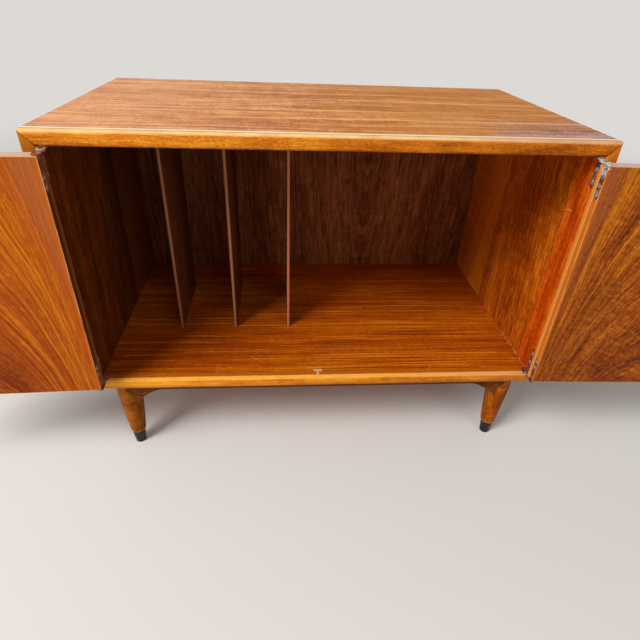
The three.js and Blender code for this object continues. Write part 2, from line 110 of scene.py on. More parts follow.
# The range that Blender's own noise mostly keeps to, and the height of one unit of relief
NOISE_LOW = 0.3
NOISE_HIGH = 0.7
RELIEF_HEIGHT = 0.3 * MM

# Smoothing of the faceted round faces
SMOOTH_ANGLE = math.radians(36)
WELD_DISTANCE = 0.002 * MM

# Screws
SCREW_HEAD_RADIUS = 3.2 * MM
SCREW_HEAD_DEPTH = 1.9 * MM
SCREW_DOME = 0.55 * MM
SCREW_SHANK_RADIUS = 1.5 * MM
SCREW_LENGTH = 13.6 * MM
SCREW_POINT_SHARE = 0.2
SCREW_TIP_SHARE = 0.3
SLOT_WIDTH = 0.9 * MM
SLOT_DEPTH = 1.0 * MM
SCREW_SEGMENTS = 40
SCREW_DOME_STEPS = 5
SLOT_TURN_STEP = math.radians(67)


def linear(code):
    """A hex sRGB colour as linear red, green, blue and alpha."""
    shares = [int(code[i : i + 2], 16) / 255 for i in (0, 2, 4)]
    return [s / 12.92 if s <= 0.04045 else ((s + 0.055) / 1.055) ** 2.4 for s in shares] + [1.0]


def box_mm(node):
    """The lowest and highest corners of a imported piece, in millimetres."""
    return [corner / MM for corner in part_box(node)]


# Sums over a surface


class Field:
    """A number that varies over a surface, with Python's own signs for its sums."""

    def __init__(self, graph, socket):
        self.graph = graph
        self.socket = socket

    def __add__(self, other):
        return self.graph.math("ADD", self, other)

    def __sub__(self, other):
        return self.graph.math("SUBTRACT", self, other)

    def __rsub__(self, other):
        return self.graph.math("SUBTRACT", other, self)

    def __mul__(self, other):
        return self.graph.math("MULTIPLY", self, other)

    def __truediv__(self, other):
        return self.graph.math("DIVIDE", self, other)

    def __pow__(self, other):
        return self.graph.math("POWER", self, other)

    __radd__ = __add__
    __rmul__ = __mul__


class Graph:
    """The nodes of a material or of the world, with a short call for each kind that is used."""

    def __init__(self, owner):
        self.owner = owner
        owner.use_nodes = True
        self.tree = owner.node_tree

    def link(self, value, socket):
        """Joins a field to a socket, or sets the socket to a plain value."""
        if isinstance(value, Field):
            self.tree.links.new(value.socket, socket)
        else:
            socket.default_value = value

    def node(self, kind, inputs=(), output=0, **settings):
        """A new node with those inputs and settings, as the field that it gives out."""
        made = self.tree.nodes.new(kind)
        for name, value in settings.items():
            setattr(made, name, value)
        for key, value in dict(inputs).items():
            self.link(value, made.inputs[key])
        return Field(self, made.outputs[output])

    def math(self, operation, *values):
        return self.node("ShaderNodeMath", enumerate(values), operation=operation)

    def smallest(self, a, b):
        return self.math("MINIMUM", a, b)

    def largest(self, a, b):
        return self.math("MAXIMUM", a, b)

    def size(self, value):
        return self.math("ABSOLUTE", value)

    def length(self, a, b):
        return self.math("SQRT", a * a + b * b)

    def point(self):
        """The place on the piece in metres: in the cabinet's frame, but on a screw in its own."""
        return self.node("ShaderNodeTexCoord", output="Object")

    def split(self, point):
        """A point's x, y and z in millimetres."""
        made = self.tree.nodes.new("ShaderNodeSeparateXYZ")
        self.link(point, made.inputs[0])
        return [Field(self, output) * (1 / MM) for output in made.outputs]

    def turned(self, point, centre, angle):
        """The point turned by the angle round an upright axis through the centre."""
        inputs = {"Vector": point, "Center": centre, "Angle": angle}
        return self.node("ShaderNodeVectorRotate", inputs, rotation_type="Z_AXIS")

    def noise(self, places, sizes, seed=0.0, detail=2.0, rough=0.5):
        """Smooth noise from about -1 to 1, with swells of those sizes in millimetres.

        It runs over two places and a seed, or over three places.
        """
        scaled = [place / size for place, size in zip(places, sizes)]
        place = self.node("ShaderNodeCombineXYZ", enumerate([*scaled, seed][:3]))
        inputs = {"Vector": place, "Scale": 1.0, "Detail": detail, "Roughness": rough}
        noise = self.node("ShaderNodeTexNoise", inputs)
        return self.step(noise, NOISE_LOW, NOISE_HIGH, -1.0, 1.0, "LINEAR")

    def step(self, value, low, high, start=0.0, end=1.0, shape="SMOOTHSTEP"):
        """Goes from start to end as the value goes from low to high."""
        inputs = {0: value, 1: low, 2: high, 3: start, 4: end}
        return self.node("ShaderNodeMapRange", inputs, interpolation_type=shape, clamp=True)

    def stripe(self, value, place, half_width):
        """1 at that place and 0 from half a width away."""
        return self.step(self.size(value - place), half_width, 0.0)

    def scratch(self, u, v, start, end, half_width):
        """1 on a straight scratch from start to end, for places u and v on a flat face."""
        run = Vector(end) - Vector(start)
        share = ((u - start[0]) * run.x + (v - start[1]) * run.y) / run.length_squared
        share = self.step(share, 0.0, 1.0, shape="LINEAR")
        away = self.length(u - start[0] - share * run.x, v - start[1] - share * run.y)
        return self.step(away, half_width, 0.3 * half_width)

    def cover(self, colour, marks):
        """The colour with each mark laid over it in turn, by its share."""
        for share, mark in marks:
            made = self.tree.nodes.new("ShaderNodeMix")
            made.data_type = "RGBA"
            made.clamp_factor = True
            # Inputs 6 and 7 and output 2 are its colour sockets
            for key, value in ((0, share * mark.strength), (6, colour), (7, linear(mark.code))):
                self.link(value, made.inputs[key])
            colour = Field(self, made.outputs[2])
        return colour

    def ramp(self, value, *stops):
        """The colour for a value, from stops of a place and a colour each."""
        made = self.tree.nodes.new("ShaderNodeValToRGB")
        elements = made.color_ramp.elements
        while len(elements) < len(stops):
            elements.new(0.5)
        for element, (place, code) in zip(elements, stops):
            element.position = place
            element.color = linear(code)
        self.link(value, made.inputs[0])
        return Field(self, made.outputs[0])

    def edge_distance(self, xyz, low, high):
        """Millimetres to the nearest edge of the box from low to high, for a place on one of its faces."""
        x, y, z = [self.smallest(p - a, b - p) for p, a, b in zip(xyz, low, high)]
        return self.largest(self.smallest(x, y), self.smallest(self.largest(x, y), z))

    def finish(self, colour, roughness, relief, bump, constants):
        """Joins the surface's colour, roughness and relief to the shader, and returns the material."""
        shader = self.tree.nodes["Principled BSDF"]
        self.link(colour, shader.inputs["Base Color"])
        self.link(roughness, shader.inputs["Roughness"])
        inputs = {"Strength": bump, "Distance": RELIEF_HEIGHT, "Height": relief}
        self.link(self.node("ShaderNodeBump", inputs), shader.inputs["Normal"])
        for socket, value in constants.items():
            self.link(value, shader.inputs[socket])
        return self.owner


def surface(name):
    """The graph of a new material."""
    return Graph(bpy.data.materials.new(name))


# Marks over a surface


@dataclass
class Mark:
    """A colour laid over a surface, and its share where it covers most."""

    code: str
    strength: float = 1.0


WORN = "e8a860"
GLUE = "2c1206"
CHIP = "ecd6b4"
SCRATCH = Mark("e8b050", 0.6)


# Walnut


@dataclass
class Walnut:
    """The tones of one piece of walnut, and the width in millimetres and strength of each layer.

    run is the length of its lines along the grain.
    """

    dark: str
    middle: str
    light: str
    seed: float
    band_width: float = 60.0
    band: float = 0.25
    streak_width: float = 14.0
    streak: float = 0.22
    line_width: float = 4.5
    line: float = 0.18
    ring_width: float = 10.0
    ring: float = 0.22
    vein: float = 0.14
    wave: float = 5.0
    wave_length: float = 240.0
    run: float = 240.0
    curl: float = 0.06
    curl_length: float = 13.0
    mottle: float = 0.10
    grain_width: float = 1.9
    grain: float = 0.14
    fleck_length: float = 9.0
    fleck_width: float = 1.5
    fleck: float = 0.14
    pore: float = 0.16
    roughness: float = 0.40
    shine: float = 0.22


TOP = Walnut(
    "84400f", "c87634", "f4b268", 0,
    band_width=90, band=0.16, streak_width=24, streak=0.17, line_width=9, line=0.24,
    ring_width=21, vein=0.16, wave_length=420, run=420,
    curl=0.10, curl_length=16, mottle=0.13,
    grain_width=6, grain=0.18, fleck_length=5, fleck_width=6, fleck=0.16,
    roughness=0.46, shine=0.06,
)
FLOOR = Walnut(
    "682404", "aa4804", "e4861a", 11,
    band_width=90, band=0.12, streak_width=14, streak=0.10, line_width=3.6, line=0.20,
    ring_width=8.5, ring=0.28, vein=0.22, wave=1.2, wave_length=600, run=620, curl=0.03, mottle=0.05,
    grain_width=2.4, grain=0.18, shine=0.18,
)
SIDE = Walnut(
    "602204", "ae4e09", "e67e18", 21,
    band=0.16, streak_width=12, streak=0.12, line_width=4, line=0.16,
    ring_width=8, ring=0.17, wave=4, wave_length=110, run=180, mottle=0.13,
    grain_width=2.2, grain=0.26, fleck_length=12, fleck_width=2.2, fleck=0.18, shine=0.14,
)
# The left side's darker copy of the side veneer: painted shade
SHADED_SIDE = replace(SIDE, dark="381404", middle="5c2808", light="844a16", shine=0.1)
BACK = Walnut(
    "3a1a0c", "7a4222", "a8683c", 31,
    band=0.12, streak_width=12, streak=0.12, line_width=4,
    ring_width=7, ring=0.18, wave=3, wave_length=130, run=200, mottle=0.08,
    grain=0.22, fleck_length=16, fleck=0.18, roughness=0.6, shine=0.05,
)
BAND = Walnut(
    "7c3a02", "c2690a", "f09c2a", 41,
    band_width=30, band=0.12, streak_width=8, streak=0.10, line_width=3, line=0.12,
    ring_width=9, ring=0.06, vein=0.06, wave=2, wave_length=120, run=90, curl=0.05, curl_length=7,
    mottle=0.14, grain_width=1.8, grain=0.12, fleck_length=4, fleck_width=1.4, fleck=0.17, shine=0.12,
)
STILE = Walnut(
    "8e2c04", "c84a06", "ee7a1a", 51,
    band_width=22, band=0.20, streak_width=9, streak=0.14, line_width=3, line=0.14,
    ring_width=14, ring=0.08, vein=0.05, wave=2, wave_length=260, run=300, mottle=0.14,
    grain=0.24, fleck=0.26, shine=0.14,
)
# The left stile's darker copy of the stile wood: painted shade
SHADED_STILE = replace(STILE, dark="3c1806", middle="622c0e", light="86481c", shine=0.08)
DIVIDER = Walnut(
    "3a180a", "683418", "8c4c28", 61,
    band_width=50, band=0.14, streak_width=10, streak=0.14, line_width=4, line=0.14,
    ring_width=8, ring=0.14, wave=3, wave_length=160, run=220, roughness=0.5, shine=0.08,
)
LEFT_DOOR = Walnut(
    "742a04", "ae5008", "dc860e", 71,
    band_width=50, band=0.10, streak_width=12, streak=0.07, line_width=3.4, line=0.17,
    ring_width=9, vein=0.08, wave=1.2, wave_length=260, run=640, curl=0.03, mottle=0.06,
    grain=0.15, fleck_length=12, fleck_width=1.8, fleck=0.13, pore=0.18, shine=0.08,
)
RIGHT_DOOR = Walnut(
    "541c04", "94440a", "cc7413", 71,
    band_width=50, band=0.10, streak_width=12, streak=0.08, line_width=3.4, line=0.15,
    ring_width=9, ring=0.14, vein=0.08, wave=2.4, wave_length=80, run=300,
    curl=0.12, curl_length=6, mottle=0.11,
    grain=0.18, fleck_length=8, fleck_width=2.0, fleck=0.20, pore=0.18, shine=0.08,
)
LEG = Walnut(
    "582000", "964804", "cc760e", 81,
    band_width=26, band=0.10, streak_width=8, streak=0.06, line_width=3, line=0.10,
    ring_width=4.4, ring=0.34, wave=0.7, wave_length=60, run=160, fleck=0.16, shine=0.05,
)
PLAIN_LEG = replace(
    LEG, middle="9c560a", light="d68a1c",
    band=0.05, streak=0.03, line=0.05, ring=0.10, vein=0.02, mottle=0.07, grain=0.09, fleck=0.12,
)
# The rails: a darker copy of the leg wood, painted shade under the case
SHADED_RAIL = replace(
    LEG, dark="3c1c08", middle="70380f", light="985a1e",
    ring_width=8.0, ring=0.2, wave_length=160.0,
)
BLOCK = Walnut(
    "8d6238", "ab8152", "c79e6c", 91,
    band_width=26, band=0.14, streak_width=8, streak=0.16, line_width=3, line=0.12,
    ring_width=8, ring=0.14, roughness=0.7, shine=0.1,
)

# Layers alike in all wood: lengths and sizes in millimetres, LINE and GRAIN as shares of its run
BAND_LENGTH = 600.0
LINE_SHARE = 0.6
GRAIN_SHARE = 0.2
MOTTLE_SIZE = (55.0, 20.0)
PORE_SIZE = (8.0, 0.8)
PORE_RANGE = (0.5, 0.95)
VEIN_RANGE = (0.10, 0.02)
RING_DRIFT_LENGTH = 1500.0
RING_DRIFT = 1.5
RING_SHARPNESS = 3.0
RING_MEAN = 0.15
LINE_RELIEF = 0.25
GRAIN_RELIEF = 0.2
# How far the layers shift across the grain for each millimetre into the wood
LAYER_SLANT = 0.7

TONE_STOPS = (0.05, 0.5, 0.95)
ROUGHNESS_SPREAD = 0.12
WOOD_BUMP = 0.16
LACQUER_IOR = 1.5
WEAR_PATCH = (45.0, 45.0, 45.0)
WEAR_RANGE = (-0.9, 0.6)
WEAR_WIDTH = 1.6
STREAK_PATCH = (130.0, 60.0)


def wood_figure(g, along, growth, wood):
    """The tone from 0 to 1 and the relief of walnut, from the places along and across its grain."""
    wander = g.noise((along, growth), (wood.wave_length, 3 * wood.band_width), wood.seed)
    across = growth + wander * wood.wave

    def layer(number, length, width, detail=2.0):
        """Noise drawn out along the grain, another one for each number."""
        return g.noise((along, across), (length, width), wood.seed + number, detail)

    band = layer(1, BAND_LENGTH, wood.band_width)
    streak = layer(2, wood.run, wood.streak_width)
    line = layer(3, LINE_SHARE * wood.run, wood.line_width)
    fleck = layer(4, wood.fleck_length, wood.fleck_width)
    curl = layer(5, wood.curl_length, 3 * wood.curl_length)
    mottle = layer(6, *MOTTLE_SIZE, detail=3.0)
    pores = g.step(layer(7, *PORE_SIZE), *PORE_RANGE)
    drift = g.noise((across, along), (7 * wood.ring_width, RING_DRIFT_LENGTH), wood.seed + 8)
    ring = g.math("FRACT", across / wood.ring_width + drift * RING_DRIFT) ** RING_SHARPNESS
    ring_strength = 0.6 + 0.5 * layer(9, wood.run, 2 * wood.ring_width)
    vein = g.step(g.size(layer(10, wood.run, 3 * wood.line_width)), *VEIN_RANGE)
    grain = layer(11, GRAIN_SHARE * wood.run, wood.grain_width)
    tone = 0.5 + band * wood.band + streak * wood.streak + line * wood.line + grain * wood.grain
    tone = tone + curl * wood.curl + mottle * wood.mottle + vein * wood.vein + fleck * wood.fleck
    tone = tone - (ring * ring_strength - RING_MEAN) * wood.ring - pores * wood.pore
    relief = line * LINE_RELIEF + grain * GRAIN_RELIEF - pores
    return tone, relief


def wood_finish(g, tone, relief, wood, marks=()):
    """Lacquered walnut of that tone, with each mark laid over it by its share."""
    colour = g.ramp(tone, *zip(TONE_STOPS, (wood.dark, wood.middle, wood.light)))
    colour = g.cover(colour, marks)
    roughness = wood.roughness + (0.5 - tone) * ROUGHNESS_SPREAD
    constants = {"Specular IOR Level": wood.shine, "IOR": LACQUER_IOR}
    return g.finish(colour, roughness, relief, WOOD_BUMP, constants)


def worn_edge(g, xyz, low, high, width=WEAR_WIDTH):
    """The share of wear on the edges of the box from low to high, broken up along them."""
    distance = g.edge_distance(xyz, low, high)
    patches = g.noise(xyz, WEAR_PATCH, detail=4.0)
    return g.step(distance, width, 0.2 * width) * g.step(patches, *WEAR_RANGE)


def light_streaks(g, along, across, streaks):
    """The share of the light streaks, each given by its place across the grain and its half width."""
    patches = g.noise((along, across), STREAK_PATCH, 5.0)
    shares = [g.stripe(across, place, half_width) for place, half_width in streaks]
    return sum(shares[1:], shares[0]) * (0.65 + 0.5 * patches)


PANEL_WEAR = Mark(WORN, 0.35)


def panel_material(node, wood, along, across, through):
    """Wood whose grain runs along one axis, with its edges a little worn."""
    g = surface(f"{node}_wood")
    xyz = g.split(g.point())
    growth = xyz[across] + xyz[through] * LAYER_SLANT
    tone, relief = wood_figure(g, xyz[along], growth, wood)
    worn = worn_edge(g, xyz, *box_mm(node))
    return wood_finish(g, tone, relief, wood, [(worn, PANEL_WEAR)])


# Top


@dataclass
class Eye:
    """A swelling in a figure: its middle, its reach each way, and how far it lifts the layers."""

    x: float
    y: float
    reach_x: float
    reach_y: float
    lift: float


TOP_EYES = (Eye(40, -125, 110, 34, 16), Eye(150, -95, 90, 26, -12), Eye(-30, 130, 120, 40, 14))
# Each light streak's y and half width
TOP_STREAKS = ((-37, 7), (51, 6), (-96, 5), (118, 5))
TOP_WOBBLE = 5.0
TOP_WOBBLE_SIZE = (260.0, 90.0)
# Where each change starts and where it is full: below the upper face, in x or in y
TOP_FACE_DEPTHS = (1.0, 0.3)
TOP_LEFT_REFLECTION_X = (60.0, -380.0)
TOP_GOLDEN_X = (-80.0, 160.0)
TOP_VIOLET_REFLECTION_X = (150.0, 350.0)
TOP_VIOLET_REFLECTION_Y = (-40.0, -160.0)
TOP_VIOLET_REFLECTION_TONES = (0.36, 0.68)
TOP_CLOUD_SIZE = (60.0, 30.0)
TOP_CLOUD_SHIFT_X = 80.0
TOP_CLOUD_SHIFT_Y = 50.0
TOP_LEFT_REFLECTION_LIFT = 0.12
TOP_SEAM_BEHIND = 1.0
TOP_SEAM_HALF_WIDTH = 2.0
# The pale left mark and both violet marks are painted reflections; the golden mark, the streaks and the
# seam are the wood's own.
TOP_LEFT_REFLECTION = Mark("f4b08c", 0.36)
TOP_GOLDEN = Mark("ca7c0c", 0.58)
TOP_VIOLET_REFLECTION = Mark("8a5444", 0.75)
TOP_LIGHT_VIOLET_REFLECTION = Mark("cca8a0", 0.75)
TOP_STREAK = Mark("ffc880", 0.7)
TOP_SEAM = Mark("7a3c18", 0.6)


def top_material(wood):
    """A long straight figure with light streaks, which opens into flat arches near the front.

    Its paler left end and the violet in its front right corner are painted reflections; it is more golden
    at the right.
    """
    g = surface("top_veneer")
    x, y, z = g.split(g.point())
    low, high = box_mm("top_panel")
    growth = y + z * LAYER_SLANT
    for eye in TOP_EYES:
        away = g.length((x - eye.x) / eye.reach_x, (y - eye.y) / eye.reach_y)
        growth = growth + g.step(away, 1.0, 0.0) * eye.lift
    tone, relief = wood_figure(g, x, growth, wood)
    wobble = g.noise((x, y), TOP_WOBBLE_SIZE, 2.0) * TOP_WOBBLE
    on_face = g.step(high.z - z, *TOP_FACE_DEPTHS)
    # Painted reflection: paler towards the left end
    pale = g.step(x, *TOP_LEFT_REFLECTION_X)
    tone = tone + pale * TOP_LEFT_REFLECTION_LIFT
    # Painted violet reflection in the front right corner, broken into clouds
    cloud = g.noise((x, y), TOP_CLOUD_SIZE, 3.0, detail=4.0)
    violet_x = g.step(x + cloud * TOP_CLOUD_SHIFT_X, *TOP_VIOLET_REFLECTION_X)
    violet = violet_x * g.step(y + cloud * TOP_CLOUD_SHIFT_Y, *TOP_VIOLET_REFLECTION_Y)
    marks = [
        (pale, TOP_LEFT_REFLECTION),
        (g.step(x, *TOP_GOLDEN_X), TOP_GOLDEN),
        (violet, TOP_VIOLET_REFLECTION),
        (violet * g.step(tone, *TOP_VIOLET_REFLECTION_TONES), TOP_LIGHT_VIOLET_REFLECTION),
        (light_streaks(g, x, y + wobble, TOP_STREAKS) * on_face, TOP_STREAK),
        (g.stripe(y, low.y + TOP_SEAM_BEHIND, TOP_SEAM_HALF_WIDTH), TOP_SEAM),
    ]
    return wood_finish(g, tone, relief, wood, marks)


# Floor, sides and back


# Each scratch's two ends and half width, on the floor in x and y, on a side or stile in y and z
FLOOR_SCRATCHES = (
    ((-96.0, -128.0), (-90.0, -124.0), 0.6),
    ((-120.0, -140.0), (-116.0, -145.0), 0.6),
    ((188.0, -176.0), (191.0, -178.0), 1.2),
)
SIDE_SCRATCH = ((-146.0, 455.0), (-139.0, 452.0), 0.8)
STILE_SCRATCH = ((-166.0, 460.0), (-147.0, 456.0), 0.8)
# Painted shade towards the floor's rear: where it starts and where it is full, in y, and its strength
FLOOR_SHADE_Y = (60.0, 220.0)
FLOOR_SHADE = 0.12
# The chips' start and full strength along the right side, and short of it
FLOOR_CHIPS_Y = (-55.0, -75.0)
FLOOR_CHIPS_REACH = (1.6, 0.6)
FLOOR_CHIP_SIZE = (9.0, 5.0)
FLOOR_CHIP_RANGE = (-0.1, 0.3)
FLOOR_CHIPS = Mark(CHIP, 0.8)
FLOOR_SCRATCH = Mark(CHIP, 0.3)
# The seam's y and half width, and where the front leaf changes to the rear one, from the seam
SIDE_SEAM_Y = 62.7
SIDE_SEAM_HALF_WIDTH = 0.9
SIDE_LEAF_FADE = (-0.2, 0.2)
SIDE_LEAN = 0.07
SIDE_REAR_LIFT = 0.24
SIDE_REAR = Mark("dc7c14", 0.15)
SIDE_SEAM = Mark(GLUE, 0.6)
BACK_FORK_X = 120.0
BACK_FORK_DEPTH = 12.0
BACK_FORK_SLOPE = 0.06


def floor_material(wood):
    """Straight stripes along the floor, with painted shade towards the rear, pale chips along its right
    side and a few fine scratches.
    """
    g = surface("floor_veneer")
    x, y, z = g.split(g.point())
    side_face = box_mm("right_side_panel")[0].x
    tone, relief = wood_figure(g, x, y + z * LAYER_SLANT, wood)
    # Painted shade: darker towards the rear
    tone = tone - g.step(y, *FLOOR_SHADE_Y) * FLOOR_SHADE
    chips = g.noise((y, x), FLOOR_CHIP_SIZE, 1.0, detail=4.0)
    along_side = g.step(side_face - x, *FLOOR_CHIPS_REACH) * g.step(y, *FLOOR_CHIPS_Y)
    marks = [(along_side * g.step(chips, *FLOOR_CHIP_RANGE), FLOOR_CHIPS)]
    for scratch in FLOOR_SCRATCHES:
        marks.append((g.scratch(x, y, *scratch), FLOOR_SCRATCH))
    return wood_finish(g, tone, relief, wood, marks)


def side_material(side, wood):
    """Upright veneer in two leaves that mirror each other at a seam, the rear one lighter."""
    g = surface(f"{side}_side_veneer")
    x, y, z = g.split(g.point())
    from_seam = y - SIDE_SEAM_Y
    rear = g.step(from_seam, *SIDE_LEAF_FADE)
    growth = g.size(from_seam) + z * SIDE_LEAN + x * LAYER_SLANT
    tone, relief = wood_figure(g, z, growth, wood)
    tone = tone + rear * SIDE_REAR_LIFT
    marks = [(rear, SIDE_REAR), (g.stripe(from_seam, 0.0, SIDE_SEAM_HALF_WIDTH), SIDE_SEAM)]
    if side == "right":
        marks.append((g.scratch(y, z, *SIDE_SCRATCH), SCRATCH))
    return wood_finish(g, tone, relief, wood, marks)


def back_material(wood):
    """Upright veneer with a narrow fork in its figure."""
    g = surface("back_veneer")
    x, y, z = g.split(g.point())
    fork = g.length(x - BACK_FORK_X, BACK_FORK_DEPTH) - z * BACK_FORK_SLOPE
    tone, relief = wood_figure(g, z, fork + y * LAYER_SLANT, wood)
    return wood_finish(g, tone, relief, wood)


# Doors


@dataclass
class Edging:
    """The tones of a door's solid edging: its outer layer, its inner one and the line between them, a
    joint line with a painted highlight.
    """

    outer: Mark
    inner: Mark
    line: Mark


# The arches of the figure, in millimetres up the door
ARCH_START = 330.0
ARCH_RISE = 64.0
ARCH_SLOPE = 0.28
ARCH_POWER = 5.0
ARCH_MARGIN = 0.02
ARCH_SWEEP = 69.0
ARCH_WANDER = 4.0
ARCH_WANDER_SIZE = (120.0, 260.0)
ARCH_SLANT = 0.5
ARCH_WOBBLE = 1.6
ARCH_WOBBLE_SIZE = (60.0, 30.0)
# Straight fibres that take over near the edges, and the shares of the half door where they do
FIBRE_SIZE = (45.0, 2.2)
FIBRE_SHARES = (0.36, 0.12)
FIBRE = 0.18
# Each light streak's place up the arches and half width
LEFT_STREAKS = ((275, 2), (284, 2), (291, 4.5), (300, 2), (309, 4), (327, 2), (350, 2))
RIGHT_STREAKS = ((230, 3), (239, 7), (250, 3), (268, 2), (297, 2.5), (316, 7), (336, 2.5))
# The left door's changes of tone: up the arches, or down from its top
LEFT_DARK_ARCH = (310.0, 410.0)
LEFT_DARK = 0.18
LEFT_ROSY_ARCH = (270.0, 200.0)
LEFT_ROSY_DEPTHS = (280.0, 0.0)
# The right door's changes of tone: up the arches, down from its top, or up from its bottom
RIGHT_PATCH_ARCH = 282.0
RIGHT_PATCH_HALF_WIDTH = 20.0
RIGHT_PATCH_DEPTHS = (160.0, 90.0)
RIGHT_PATCH = 0.22
RIGHT_LIGHT_ENDS = (60.0, 60.0)
RIGHT_LIGHT = 0.14
RIGHT_ROSY_ARCH = (250.0, 180.0)
RIGHT_ROSY_ENDS = (80.0, 40.0)
RIGHT_STREAK_ENDS = (40.0, 120.0)
RIGHT_STREAK_LEAST = 0.35
# Places on the edges: in from a broad face, the rim, the top or the hinged edge
EDGE_FROM_FACE = (0.5, 0.9)
EDGE_FROM_RIM = (1.4, 0.7)
EDGE_FROM_TOP = (0.5, 0.2)
EDGE_AT_HINGE = (5.0, 3.0)
EDGE_INNER_LAYER = (8.6, 9.2)
# The pale line in the edging, a joint with a painted highlight: its place and half width
EDGE_HIGHLIGHT_PLACE = 7.6
EDGE_HIGHLIGHT_HALF_WIDTH = 0.9
EDGE_GLUE_PLACE = 8.5
EDGE_GLUE_HALF_WIDTH = 0.5
STRIP_WIDTH = (4.4, 3.8)
STRIP_DEPTH = (9.0, 10.0)
CORNER_FROM_TOP = (12.0, 5.0)
CORNER_FROM_HINGE = (5.0, 2.5)
CHIP_SIZE = (3.0, 3.0, 4.0)
CHIP_RANGE = (0.0, 0.5)
DOOR_WEAR_WIDTH = 1.3
WARM_EDGING = Edging(Mark("ea9038", 0.85), Mark("d06a14", 0.75), Mark("ffd79a"))
# The left door's hinged edge: painted shade, darker than the same edging elsewhere
SHADED_EDGING = Edging(Mark("6a3c1c", 0.85), Mark("4c260e", 0.75), Mark("94603a"))
DOOR_STRIP = Mark("c05c10", 0.6)
DOOR_CORE = Mark("c07018", 0.4)
DOOR_GLUE = Mark(GLUE, 0.8)
# Painted reflection along the doors' top edges
DOOR_TOP_REFLECTION = Mark("cdb8ae", 0.8)
DOOR_WEAR = Mark("f0b266", 0.85)
DOOR_CHIPS = Mark(CHIP, 0.8)


def closed_box(node, joint, angle):
    """The corners in millimetres of a door when it is turned about its joint to where it is closed."""
    pivot = Matrix.Translation(Vector(joint["pos_m"]))
    turn = pivot @ Matrix.Rotation(angle, 4, "Z") @ pivot.inverted()
    points = [turn @ v.co / MM for v in nodes[node].data.vertices]
    low = Vector(min(p[i] for p in points) for i in range(3))
    high = Vector(max(p[i] for p in points) for i in range(3))
    return low, high


def door_arch(g, x, z, high, share):
    """How far up the arches a point lies, from its share of the way to the door's middle.

    The arches fall steeply near both edges and are level in the middle.
    """
    inward = share - share**ARCH_POWER * (1 / ARCH_POWER) + ARCH_MARGIN
    fall = (high.z - z) * ARCH_SLOPE + ARCH_START
    wander = g.noise((x, z), ARCH_WANDER_SIZE, 12.0) * ARCH_WANDER
    return g.math("LOGARITHM", inward, math.e) * ARCH_RISE + fall + wander


def shade_left_door(g, arch, z, low, high):
    """The left door's shift in tone, rosy share and strength of streaks: darker up its arches."""
    shift = g.step(arch, *LEFT_DARK_ARCH, 0.0, -LEFT_DARK)
    rosy = g.step(arch, *LEFT_ROSY_ARCH) * g.step(high.z - z, *LEFT_ROSY_DEPTHS)
    return shift, rosy, 1.0


def shade_right_door(g, arch, z, low, high):
    """The right door's shift in tone, rosy share and strength of streaks: lighter upwards."""

    def upwards(ends, start=0.0, end=1.0):
        """Goes from start to end between a place above the bottom and one below the top."""
        return g.step(z, low.z + ends[0], high.z - ends[1], start, end)

    patch = g.stripe(arch, RIGHT_PATCH_ARCH, RIGHT_PATCH_HALF_WIDTH)
    patch = patch * g.step(high.z - z, *RIGHT_PATCH_DEPTHS)
    shift = upwards(RIGHT_LIGHT_ENDS) * RIGHT_LIGHT - patch * RIGHT_PATCH
    rosy = g.step(arch, *RIGHT_ROSY_ARCH) * upwards(RIGHT_ROSY_ENDS)
    return shift, rosy, upwards(RIGHT_STREAK_ENDS, RIGHT_STREAK_LEAST)


@dataclass
class DoorLooks:
    """What differs between the doors.

    calm is the share of contrast that the figure has below the arches calm_arch, and middle its tone.
    """

    wood: Walnut
    calm_arch: tuple
    calm: float
    middle: float
    shading: object
    rosy: Mark
    streaks: tuple
    streak: Mark
    hinge_edging: Edging
    corner_chipped: bool


DOORS = {
    "left": DoorLooks(
        LEFT_DOOR, calm_arch=(225.0, 275.0), calm=0.65, middle=0.46, shading=shade_left_door,
        rosy=Mark("a2603a", 0.45), streaks=LEFT_STREAKS, streak=Mark("e8920e", 0.42),
        hinge_edging=SHADED_EDGING, corner_chipped=False,
    ),
    "right": DoorLooks(
        RIGHT_DOOR, calm_arch=(205.0, 236.0), calm=0.8, middle=0.42, shading=shade_right_door,
        rosy=Mark("8e5230", 0.45), streaks=RIGHT_STREAKS, streak=Mark("e8920e", 0.5),
        hinge_edging=WARM_EDGING, corner_chipped=True,
    ),
}


def edging_marks(g, edging, edge, depth):
    """The marks of a door's edging over a share of its rim."""
    return [
        (edge, edging.outer),
        (edge * g.step(depth, *EDGE_INNER_LAYER), edging.inner),
        # The pale line: a joint with a painted highlight
        (edge * g.stripe(depth, EDGE_HIGHLIGHT_PLACE, EDGE_HIGHLIGHT_HALF_WIDTH), edging.line),
    ]


